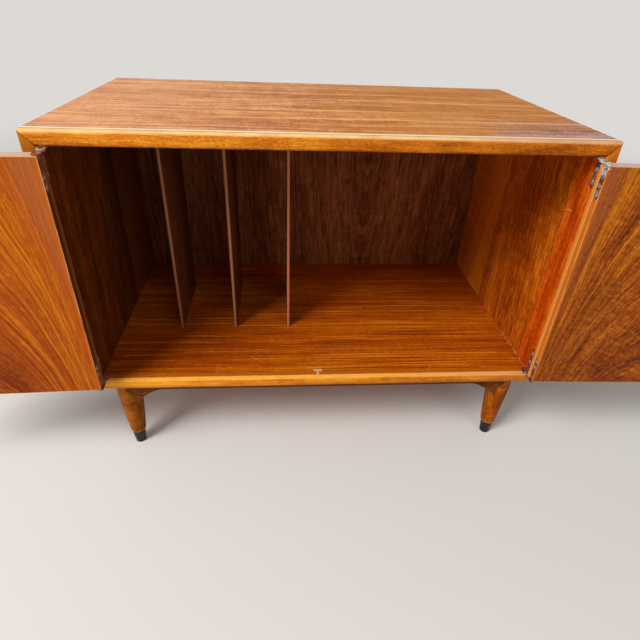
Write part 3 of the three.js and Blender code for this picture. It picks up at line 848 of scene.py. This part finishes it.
def door_material(side):
    """Book-matched veneer arched round the door's middle, over solid edging of another tone, with a
    painted highlight in the edging, a painted reflection on the top edge and, on the left door, painted
    shade on the hinged edge.
    """
    looks = DOORS[side]
    g = surface(f"{side}_door_veneer")
    joint = hinges[side]
    to_closed = math.radians(joint["range_deg"][1]) * joint["axis"][2]
    low, high = closed_box(f"{side}_door", joint, to_closed)
    x, y, z = xyz = g.split(g.turned(g.point(), joint["pos_m"], to_closed))
    hinge_edge = max(abs(low.x), abs(high.x)) - g.size(x)
    meeting_edge = g.size(x) - min(abs(low.x), abs(high.x))
    upright_edge = g.smallest(hinge_edge, meeting_edge)
    share = upright_edge * (2 / (high.x - low.x))

    arch = door_arch(g, x, z, high, share)
    along = z + share * share * ARCH_SWEEP
    tone, relief = wood_figure(g, along, arch + y * ARCH_SLANT, looks.wood)
    fibre = g.noise((z, hinge_edge), FIBRE_SIZE, 13.0, detail=4.0)
    tone = tone + fibre * g.step(share, *FIBRE_SHARES) * FIBRE
    calm = g.step(arch, *looks.calm_arch, looks.calm, 1.0)
    shift, rosy, streak_strength = looks.shading(g, arch, z, low, high)
    tone = (tone - 0.5) * calm + looks.middle + shift
    wobble = g.noise((along, arch), ARCH_WOBBLE_SIZE, 4.0) * ARCH_WOBBLE
    streaks = light_streaks(g, along, arch + wobble, looks.streaks)

    depth = y - low.y
    core = g.step(g.smallest(depth, high.y - y), *EDGE_FROM_FACE)
    from_rim = g.smallest(upright_edge, g.smallest(z - low.z, high.z - z))
    rim = core * g.step(from_rim, *EDGE_FROM_RIM)
    marks = [
        (rosy, looks.rosy),
        (streaks * streak_strength, looks.streak),
        (g.step(hinge_edge, *STRIP_WIDTH) * g.step(depth, *STRIP_DEPTH), DOOR_STRIP),
        (core, DOOR_CORE),
        *edging_marks(g, WARM_EDGING, rim, depth),
        # The hinged edge; on the left door its edging is painted darker, as painted shade
        *edging_marks(g, looks.hinge_edging, rim * g.step(hinge_edge, *EDGE_AT_HINGE), depth),
        (rim * g.stripe(depth, EDGE_GLUE_PLACE, EDGE_GLUE_HALF_WIDTH), DOOR_GLUE),
        # Painted reflection along the top edge
        (rim * g.step(high.z - z, *EDGE_FROM_TOP), DOOR_TOP_REFLECTION),
        (worn_edge(g, xyz, low, high, DOOR_WEAR_WIDTH), DOOR_WEAR),
    ]
    if looks.corner_chipped:
        chips = g.noise(xyz, CHIP_SIZE, detail=4.0)
        corner = g.step(high.z - z, *CORNER_FROM_TOP) * g.step(hinge_edge, *CORNER_FROM_HINGE)
        marks.append((g.step(chips, *CHIP_RANGE) * corner, DOOR_CHIPS))
    return wood_finish(g, tone, relief, looks.wood, marks)


# Edging of the case, and dividers


@dataclass
class BandLooks:
    """What differs between the two bands. lift shifts the tone, and lit is painted light that lifts it at
    the left end. The arris mark is a painted highlight, the foot mark painted shade, and the upper right
    mark a painted reflection.
    """

    upper_face: Mark
    upper_right_reflection: Mark
    line: Mark
    line_place: float
    arris: Mark
    foot: Mark
    foot_shade_height: float
    lift: float
    lit: float


ARRIS = 6.0
# Painted reflection on the arris towards the right end
ARRIS_RIGHT_REFLECTION = Mark("cc8c70", 0.62)
ARRIS_DEPTHS = (4.6, 1.2)
ARRIS_BEHIND = (ARRIS + 1.0, ARRIS - 1.0)
# The painted highlight along the arris: its patches, how much they vary, and its strength
ARRIS_PATCH = (30.0, 30.0)
ARRIS_PATCHINESS = 0.2
ARRIS_HIGHLIGHT_STRENGTH = 0.70
UPPER_FACE_DEPTHS = (0.9, 0.3)
UPPER_FACE_BEHIND = (ARRIS + 1.6, ARRIS + 2.4)
BAND_LINE_HALF_WIDTH = 1.8
BAND_LINE_DEPTHS = (2.4, 1.0)
# Painted shade along each band's foot: the height where it is full
BAND_FOOT_SHADE_FULL = 0.5
# Painted light at the left end: where it starts and where it is full, in x
BAND_LIT_X = (340.0, -380.0)
# Painted reflection at the right end: where it starts and where it is full, in x
BAND_REFLECTION_X = (80.0, 330.0)
BAND_SLANT_ALONG = 0.5
MEMBER_SLANT = 0.8
# On both bands the arris mark is a painted highlight and the foot mark painted shade. The top band's upper
# face takes a painted cream reflection, and its line is a thin dark line at the start of the arris; the
# bottom band's upper face takes the floor's own tone, and its line is a painted highlight.
BANDS = {
    "top": BandLooks(
        upper_face=Mark("ffeac2", 0.9), upper_right_reflection=Mark("c8a49a", 0.25),
        line=Mark("9a5c24", 0.6), line_place=ARRIS + 0.8, arris=Mark("ffd692"),
        foot=Mark("6a3004", 0.3), foot_shade_height=4.0, lift=-0.15, lit=0.30,
    ),
    "bottom": BandLooks(
        upper_face=Mark("b45c0c", 0.9), upper_right_reflection=Mark("b45c0c", 0.0),
        line=Mark("ffdca0", 0.6), line_place=ARRIS - 1.0, arris=Mark("ffb230"),
        foot=Mark("6a3004", 0.5), foot_shade_height=11.0, lift=0.12, lit=0.10,
    ),
}
# The mitre's dark line widens towards the opening and is faint at the case's outer corner
MITRE_HALF_WIDTH = 0.35
MITRE_SPREAD = 0.05
MITRE_FADE = (0.0, 12.0, 0.25, 0.9)
MITRE = Mark(GLUE)
# The stile's changes of tone: behind its front, or up from the ground
STILE_FRONT = (ARRIS + 0.5, ARRIS - 2.5)
STILE_PALE_BEHIND = (20.0, 4.0)
STILE_PALE = 0.2
STILE_UPPER_Z = (300.0, 500.0)
STILE_UPPER = 0.08
STILE_LIFT = -0.05
STILE_WEAR_WIDTH = 2.4
# Wear with a painted highlight along the stile's edges, weaker on the left, which stands in shade
STILE_WEAR_AND_HIGHLIGHT = {"left": Mark(WORN, 0.2), "right": Mark(WORN, 0.5)}
STILE_GOLDEN = Mark("cc7a10", 0.6)
DIVIDER_EDGE = (1.6, 1.0)
# Each divider's lighter edges, partly painted light: the third brighter as if lit, the first darker as if
# in shade
DIVIDER_EDGE_TONES_AND_LIGHT = [Mark(code, 0.75) for code in ("9c6c4c", "aa7450", "cc7c5c")]


def mitre_line(g, x, z):
    """The share of the dark mitres at the case's front corners, wider towards the opening."""
    case_low, case_high = box_mm("bottom_panel")[0], box_mm("top_panel")[1]
    from_side = box_mm("right_side_panel")[1].x - g.size(x)
    from_level = g.smallest(z - case_low.z, case_high.z - z)
    away = g.size(from_side - from_level)
    width = MITRE_HALF_WIDTH + from_side * MITRE_SPREAD
    return g.step(away, width, width * 0.3) * g.step(from_side, *MITRE_FADE)


def band_material(level, wood):
    """Solid edging along the case, with a painted highlight along its broad arris, painted light at its
    left end, painted shade along its foot, a painted reflection at its right end, and dark mitres at its
    ends.
    """
    looks = BANDS[level]
    g = surface(f"{level}_band_wood")
    x, y, z = g.split(g.point())
    low, high = box_mm(f"{level}_front_band")
    behind = y - low.y
    below = high.z - z
    tone, relief = wood_figure(g, x + z * BAND_SLANT_ALONG, z + y * MEMBER_SLANT, wood)
    # Painted light: lighter towards the left end
    tone = tone + g.step(x, *BAND_LIT_X) * looks.lit + looks.lift
    upper_face = g.step(below, *UPPER_FACE_DEPTHS) * g.step(behind, *UPPER_FACE_BEHIND)
    line = g.stripe(behind, looks.line_place, BAND_LINE_HALF_WIDTH) * g.step(below, *BAND_LINE_DEPTHS)
    arris = g.step(below, *ARRIS_DEPTHS) * g.step(behind, *ARRIS_BEHIND)
    patches = g.noise((x, z), ARRIS_PATCH, 7.0, detail=4.0) * ARRIS_PATCHINESS
    # Painted reflection towards the right end
    right_reflection = g.step(x, *BAND_REFLECTION_X)
    marks = [
        # Painted highlight along the arris
        (arris * (patches + ARRIS_HIGHLIGHT_STRENGTH), looks.arris),
        (arris * right_reflection, ARRIS_RIGHT_REFLECTION),
        (upper_face, looks.upper_face),
        (line, looks.line),
        # Painted shade along the foot
        (g.step(z - low.z, looks.foot_shade_height, BAND_FOOT_SHADE_FULL), looks.foot),
        (mitre_line(g, x, z), MITRE),
        (upper_face * right_reflection, looks.upper_right_reflection),
    ]
    return wood_finish(g, tone, relief, wood, marks)


def stile_material(side, wood):
    """An upright member, golden on its front and redder on the faces beside the opening, with wear and a
    painted highlight along its edges.
    """
    g = surface(f"{side}_stile_wood")
    x, y, z = xyz = g.split(g.point())
    low, high = box_mm(f"{side}_front_stile")
    tone, relief = wood_figure(g, z, y + x * MEMBER_SLANT, wood)
    behind = y - low.y
    front = g.step(behind, *STILE_FRONT)
    paler = g.step(behind, *STILE_PALE_BEHIND) * STILE_PALE + g.step(z, *STILE_UPPER_Z) * STILE_UPPER
    marks = [
        (front, STILE_GOLDEN),
        (worn_edge(g, xyz, low, high, STILE_WEAR_WIDTH), STILE_WEAR_AND_HIGHLIGHT[side]),
        (mitre_line(g, x, z) * front, MITRE),
    ]
    if side == "right":
        marks.append((g.scratch(y, z, *STILE_SCRATCH), SCRATCH))
    return wood_finish(g, tone + paler + STILE_LIFT, relief, wood, marks)


def divider_material(node, wood, edge_tone_and_light):
    """A thin panel with upright grain and lighter edges front and rear, their tone partly painted light.
    """
    g = surface(f"{node}_wood")
    x, y, z = g.split(g.point())
    low, high = box_mm(node)
    tone, relief = wood_figure(g, z, y + x, wood)
    edge = g.step(g.smallest(y - low.y, high.y - y), *DIVIDER_EDGE)
    return wood_finish(g, tone, relief, wood, [(edge, edge_tone_and_light)])


# Legs


@dataclass
class LegFigure:
    """How a leg was cut: its wood, how far its heart lies behind it, and how its layers curve up it."""

    wood: Walnut
    heart_behind: float
    curve: float


LEGS = {"left": LegFigure(PLAIN_LEG, 160.0, 1 / 5000), "right": LegFigure(LEG, 60.0, 1 / 600)}
LEG_SEED_STEP = 20
HEART_ASIDE = 4.0
# Painted shade down each leg's right side: where it starts and where it is full, across x, and its
# strength
LEG_SHADE_X = (-6.0, 14.0)
LEG_SHADE = 0.24
LEG_LIFT = 0.03
LEG_RIM = (2.0, 0.9)
LEG_RIM_MARK = Mark("f0c890", 0.8)


def leg_material(node, number):
    """Turned wood whose curved layers show as nested ovals, with painted shade down its right side and a
    pale rim above the ferrule.
    """
    figure = LEGS[node.split("_")[-1]]
    wood = replace(figure.wood, seed=figure.wood.seed + LEG_SEED_STEP * number)
    g = surface(f"{node}_wood")
    x, y, z = g.split(g.point())
    low, high = box_mm(node)
    middle = (low + high) / 2
    ferrule_top = box_mm(node.replace("leg", "ferrule"))[1].z
    up = z - middle.z
    heart = g.length(x - middle.x - HEART_ASIDE, y - middle.y - figure.heart_behind)
    tone, relief = wood_figure(g, z, heart + up * up * figure.curve, wood)
    # Painted shade: darker towards the right side
    tone = tone - g.step(x - middle.x, *LEG_SHADE_X) * LEG_SHADE + LEG_LIFT
    rim = g.step(z - ferrule_top, *LEG_RIM)
    return wood_finish(g, tone, relief, wood, [(rim, LEG_RIM_MARK)])


# Metal


@dataclass
class Metal:
    """A metal's tones from dark to light with their places, its blotches in millimetres, and its gloss."""

    tones: tuple
    blotch_size: float
    roughness: float
    metallic: float


BRONZE = Metal(((0.1, "4a2014"), (0.5, "8e4a34"), (0.9, "cc9070")), 5.0, 0.5, 0.35)
BARE_BRONZE = replace(BRONZE, roughness=0.45)
STEEL = Metal(((0.1, "6a5c50"), (0.5, "b0a294"), (0.9, "f0e8dc")), 3.0, 0.4, 0.35)
BRASS = Metal(((0.1, "a87c4c"), (0.5, "dcb888"), (0.9, "f4e0bc")), 3.0, 0.45, 0.1)
BLACKENED = Metal(((0.1, "1c1b1a"), (0.6, "33312e"), (0.95, "5c5852")), 6.0, 0.5, 0.7)
METAL_SCRATCH_SIZE = (0.3, 2.5, 3.5)
METAL_BUMP = 0.1
# A bright ring round each pivot, by its distance from the axis
TAB_RING_INNER = (3.2, 4.2)
TAB_RING_OUTER = (6.4, 5.6)
TAB_RING = Mark("cfc6b8", 0.8)
# Bare metal on a leaf with a painted pale reflection, by the distance down from its top
BARE_AND_REFLECTING_DEPTHS = (21.0, 13.0)
BARE_AND_REFLECTING_PATCH_SIZE = (4.0, 4.0, 5.0)
BARE_AND_REFLECTING_PATCH_SHIFT = 5.0
BARE_AND_REFLECTING_RANGE = (-0.5, -0.1)
BARE_METAL_AND_REFLECTION = Mark("dceeea", 0.9)


def metal_material(name, metal, worn=None):
    """Metal with blotches of tarnish and fine scratches, and bright where it is worn; on one leaf that
    bright patch is also a painted reflection.
    """
    g = surface(name)
    xyz = g.split(g.point())
    blotch = g.noise(xyz, [metal.blotch_size] * 3, detail=4.0, rough=0.6)
    scratch = g.noise(xyz, METAL_SCRATCH_SIZE)
    tone = 0.5 + blotch * 0.4 + scratch * 0.12
    colour = g.ramp(tone, *metal.tones)
    if worn:
        colour = g.cover(colour, [worn(g, xyz)])
    roughness = metal.roughness - blotch * 0.1
    return g.finish(colour, roughness, scratch, METAL_BUMP, {"Metallic": metal.metallic})


def worn_tab(side):
    """A function that gives the mark of bright metal round the eye of that side's pivots."""
    pivot = Vector(hinges[side]["pos_m"]) / MM

    def worn(g, xyz):
        from_axis = g.length(xyz[0] - pivot.x, xyz[1] - pivot.y)
        return g.step(from_axis, *TAB_RING_INNER) * g.step(from_axis, *TAB_RING_OUTER), TAB_RING

    return worn


def bare_and_reflecting_upper_part(node):
    """A function that gives the mark of bare metal on the upper part of a leaf, its tarnish gone, painted
    with a pale reflection.
    """
    top = box_mm(node)[1].z

    def worn(g, xyz):
        patches = g.noise(xyz, BARE_AND_REFLECTING_PATCH_SIZE, detail=4.0)
        upper = g.step(top - xyz[2] + patches * BARE_AND_REFLECTING_PATCH_SHIFT, *BARE_AND_REFLECTING_DEPTHS)
        return upper * g.step(patches, *BARE_AND_REFLECTING_RANGE), BARE_METAL_AND_REFLECTION

    return worn


# Shapes


def smoothing_group():
    """Geometry nodes that weld a faceted solid and smooth it, except across its real edges."""
    group = bpy.data.node_groups.new("welded_and_smooth", "GeometryNodeTree")
    group.interface.new_socket("Geometry", in_out="INPUT", socket_type="NodeSocketGeometry")
    group.interface.new_socket("Geometry", in_out="OUTPUT", socket_type="NodeSocketGeometry")
    enter = group.nodes.new("NodeGroupInput")
    leave = group.nodes.new("NodeGroupOutput")
    weld = group.nodes.new("GeometryNodeMergeByDistance")
    weld.inputs["Distance"].default_value = WELD_DISTANCE
    smooth = group.nodes.new("GeometryNodeSetShadeSmooth")
    angle = group.nodes.new("GeometryNodeInputMeshEdgeAngle")
    steep = group.nodes.new("FunctionNodeCompare")
    steep.operation = "GREATER_THAN"
    steep.inputs[1].default_value = SMOOTH_ANGLE
    sharp = group.nodes.new("GeometryNodeSetShadeSmooth")
    sharp.domain = "EDGE"
    sharp.inputs["Shade Smooth"].default_value = False
    links = group.links
    links.new(enter.outputs[0], weld.inputs["Geometry"])
    links.new(weld.outputs["Geometry"], smooth.inputs["Geometry"])
    links.new(smooth.outputs["Geometry"], sharp.inputs["Geometry"])
    links.new(angle.outputs["Unsigned Angle"], steep.inputs[0])
    links.new(steep.outputs["Result"], sharp.inputs["Selection"])
    links.new(sharp.outputs["Geometry"], leave.inputs[0])
    return group


def smooth(piece, group):
    """Smooths a piece's round faces by the geometry nodes, and keeps its flat faces flat."""
    piece.modifiers.new("welded_and_smooth", "NODES").node_group = group
    weighted = piece.modifiers.new("weighted_normals", "WEIGHTED_NORMAL")
    weighted.keep_sharp = True


def slotted_screw_mesh():
    """A domed countersunk wood screw with its head up the z axis, a slot across it, and a point."""
    dome = [
        (SCREW_HEAD_RADIUS * math.cos(a), SCREW_DOME * math.sin(a))
        for a in (i * math.pi / 2 / SCREW_DOME_STEPS for i in range(SCREW_DOME_STEPS))
    ]
    profile = [
        (SCREW_SHANK_RADIUS * SCREW_TIP_SHARE, -SCREW_LENGTH),
        (SCREW_SHANK_RADIUS, -SCREW_LENGTH * (1 - SCREW_POINT_SHARE)),
        (SCREW_SHANK_RADIUS, -SCREW_HEAD_DEPTH),
        *dome,
    ]
    verts = [(0, 0, -SCREW_LENGTH)]
    for radius, z in profile:
        for i in range(SCREW_SEGMENTS):
            a = 2 * math.pi * i / SCREW_SEGMENTS
            verts.append((radius * math.cos(a), radius * math.sin(a), z))
    verts.append((0, 0, SCREW_DOME))
    last = len(verts) - 1
    top = last - SCREW_SEGMENTS
    faces = []
    for i in range(SCREW_SEGMENTS):
        j = (i + 1) % SCREW_SEGMENTS
        faces.append((0, 1 + j, 1 + i))
        faces.append((top + i, top + j, last))
        for ring in range(len(profile) - 1):
            a = 1 + ring * SCREW_SEGMENTS
            b = a + SCREW_SEGMENTS
            faces.append((a + i, a + j, b + j, b + i))
    mesh = bpy.data.meshes.new("screw_body")
    mesh.from_pydata(verts, [], faces)
    body = bpy.data.objects.new("screw_body", mesh)
    bpy.context.scene.collection.objects.link(body)
    bpy.ops.mesh.primitive_cube_add(size=1)
    slot = bpy.context.object
    slot.scale = (3 * SCREW_HEAD_RADIUS, SLOT_WIDTH, 2 * SLOT_DEPTH)
    slot.location = (0, 0, SCREW_DOME)
    cut = body.modifiers.new("slot", "BOOLEAN")
    cut.operation = "DIFFERENCE"
    cut.object = slot
    evaluated = body.evaluated_get(bpy.context.evaluated_depsgraph_get())
    slotted = bpy.data.meshes.new_from_object(evaluated)
    bpy.data.objects.remove(body)
    bpy.data.objects.remove(slot)
    return slotted


def build_screws(material, group):
    """A slotted screw in the place of each plain one, its head facing out of the leaf."""
    mesh = slotted_screw_mesh()
    mesh.materials.append(material)
    names = sorted(name for name in nodes if "_screw_" in name)
    for count, name in enumerate(names):
        side, _, part = name.split("_")[:3]
        joint = hinges[side]
        inward = Vector((1 if side == "left" else -1, 0, 0))
        if part == "door":
            fold = math.radians(180 - joint["range_deg"][1]) * joint["axis"][2]
            inward = Matrix.Rotation(fold, 3, "Z") @ inward
        low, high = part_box(name)
        centre = (low + high) / 2
        half = (high - low).x / 2 - SCREW_HEAD_RADIUS * abs(inward.y)
        head = centre + inward * (half - SCREW_DOME)
        facing = inward.to_track_quat("Z", "Y").to_matrix().to_4x4()
        turn = Matrix.Rotation(count * SLOT_TURN_STEP, 4, "Z")
        screw = bpy.data.objects.new(f"{name}_slotted", mesh)
        bpy.context.scene.collection.objects.link(screw)
        screw.matrix_world = Matrix.Translation(head) @ facing @ turn
        smooth(screw, group)
        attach(screw, nodes[name]["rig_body"])
        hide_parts(name)


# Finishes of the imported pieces


def give(node, material):
    """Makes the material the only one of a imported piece."""
    piece = nodes[node]
    piece.data.materials.clear()
    piece.data.materials.append(material)


def named(start, end=""):
    """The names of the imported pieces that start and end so, in order."""
    return sorted(name for name in nodes if name.startswith(start) and name.endswith(end))


def finish_case():
    give("top_panel", top_material(TOP))
    give("bottom_panel", floor_material(FLOOR))
    give("back_panel", back_material(BACK))
    for level in BANDS:
        give(f"{level}_front_band", band_material(level, BAND))
    give("left_side_panel", side_material("left", SHADED_SIDE))
    give("right_side_panel", side_material("right", SIDE))
    give("left_front_stile", stile_material("left", SHADED_STILE))
    give("right_front_stile", stile_material("right", STILE))
    for name, edge_tone_and_light in zip(named("divider_"), DIVIDER_EDGE_TONES_AND_LIGHT):
        give(name, divider_material(name, DIVIDER, edge_tone_and_light))


def finish_base():
    x, y, z = range(3)
    for name in ("front_rail", "rear_rail"):
        give(name, panel_material(name, SHADED_RAIL, along=x, across=z, through=y))
    for name in ("left_rail", "right_rail"):
        give(name, panel_material(name, SHADED_RAIL, along=y, across=z, through=x))
    for name in named("corner_block_"):
        give(name, panel_material(name, BLOCK, along=x, across=y, through=z))
    for number, name in enumerate(named("leg_")):
        give(name, leg_material(name, number))
    ferrule = metal_material("ferrule_black", BLACKENED)
    for name in named("ferrule_"):
        give(name, ferrule)


def finish_doors(group):
    for side in DOORS:
        give(f"{side}_door", door_material(side))
        bronze = metal_material(f"{side}_hinge_bronze", BRONZE, worn_tab(side))
        for name in named(side, ("_leaf", "_pin")):
            give(name, bronze)
    bare_and_reflecting_leaf = "right_top_door_leaf"
    give(bare_and_reflecting_leaf, metal_material("bare_and_reflecting_hinge", BARE_BRONZE, bare_and_reflecting_upper_part(bare_and_reflecting_leaf)))
    give("catch_strike", metal_material("strike_brass", BRASS))
    build_screws(metal_material("screw_steel", STEEL), group)


# Stage


def seen_ray(g):
    """1 for the rays of the camera, of reflections and of clear glass, and 0 for the light's own."""
    camera, glossy, clear = [
        g.node("ShaderNodeLightPath", output=name)
        for name in ("Is Camera Ray", "Is Glossy Ray", "Is Transmission Ray")
    ]
    return g.largest(g.largest(camera, glossy), clear)


def build_stage():
    """A pale floor that turns into the backdrop's even tone further off."""
    g = surface("studio_floor")
    shader = g.tree.nodes["Principled BSDF"]
    shader.inputs["Base Color"].default_value = linear(FLOOR_COLOUR)
    shader.inputs["Roughness"].default_value = FLOOR_ROUGHNESS
    shader.inputs["Specular IOR Level"].default_value = FLOOR_SHINE
    x, y, z = g.split(g.point())
    far = g.step(g.length(x, y) * MM, FLOOR_FADE_START, FLOOR_FADE_END)
    backdrop = g.node("ShaderNodeEmission", {"Color": linear(BACKDROP)})
    plain = Field(g, shader.outputs[0])
    mixed = g.node("ShaderNodeMixShader", {0: far * seen_ray(g), 1: plain, 2: backdrop})
    g.link(mixed, g.tree.nodes["Material Output"].inputs["Surface"])
    bpy.ops.mesh.primitive_plane_add(size=FLOOR_SIZE)
    floor = bpy.context.object
    floor.name = "studio_floor"
    floor.data.materials.append(g.owner)


def build_world():
    """Even light from all round. The camera and reflections see a pale backdrop instead."""
    world = bpy.data.worlds.new("studio")
    bpy.context.scene.world = world
    g = Graph(world)
    background = g.tree.nodes["Background"]
    background.inputs["Color"].default_value = linear("ffffff")
    background.inputs["Strength"].default_value = WORLD_LEVEL
    light = Field(g, background.outputs[0])
    backdrop = g.node("ShaderNodeBackground", {"Color": linear(BACKDROP)})
    mixed = g.node("ShaderNodeMixShader", {0: seen_ray(g), 1: light, 2: backdrop})
    g.link(mixed, g.tree.nodes["World Output"].inputs["Surface"])


def build_lamp(name, size, distance, azimuth, elevation, level):
    """A square soft lamp that lights what it faces at that level, where 1 renders white as white."""
    light = bpy.data.lights.new(name, "AREA")
    light.size = size
    light.energy = level * (math.pi * distance) ** 2
    lamp = bpy.data.objects.new(name, light)
    bpy.context.scene.collection.objects.link(lamp)
    flat = math.cos(elevation)
    towards = Vector((-math.sin(azimuth) * flat, -math.cos(azimuth) * flat, math.sin(elevation)))
    middle = sum(cad_box, Vector()) / 2
    lamp.location = middle + towards * distance
    lamp.rotation_euler = towards.to_track_quat("Z", "Y").to_euler()


def build_camera():
    """A camera at the photograph's place, turned by its yaw, pitch and roll."""
    forward = Vector((math.sin(CAMERA_YAW), math.cos(CAMERA_YAW), -math.tan(CAMERA_PITCH)))
    forward.normalize()
    level_right = Vector((math.cos(CAMERA_YAW), -math.sin(CAMERA_YAW), 0))
    level_up = level_right.cross(forward)
    right = math.cos(CAMERA_ROLL) * level_right + math.sin(CAMERA_ROLL) * level_up
    up = math.cos(CAMERA_ROLL) * level_up - math.sin(CAMERA_ROLL) * level_right
    data = bpy.data.cameras.new("camera")
    data.lens = CAMERA_LENS
    data.clip_start = CAMERA_CLIP_START
    camera = bpy.data.objects.new("camera", data)
    bpy.context.scene.collection.objects.link(camera)
    turn = Matrix((right, up, -forward)).transposed().to_4x4()
    camera.matrix_world = Matrix.Translation(CAMERA_PLACE) @ turn
    bpy.context.scene.camera = camera


build_camera()
build_stage()
build_world()
build_lamp("key", KEY_SIZE, KEY_DISTANCE, KEY_AZIMUTH, KEY_ELEVATION, KEY_LEVEL)
build_lamp("front", FRONT_SIZE, FRONT_DISTANCE, FRONT_AZIMUTH, FRONT_ELEVATION, FRONT_LEVEL)

smoothing = smoothing_group()
for cad_piece in nodes.values():
    smooth(cad_piece, smoothing)
finish_case()
finish_base()
finish_doors(smoothing)

bpy.context.scene.view_settings.view_transform = "Standard"
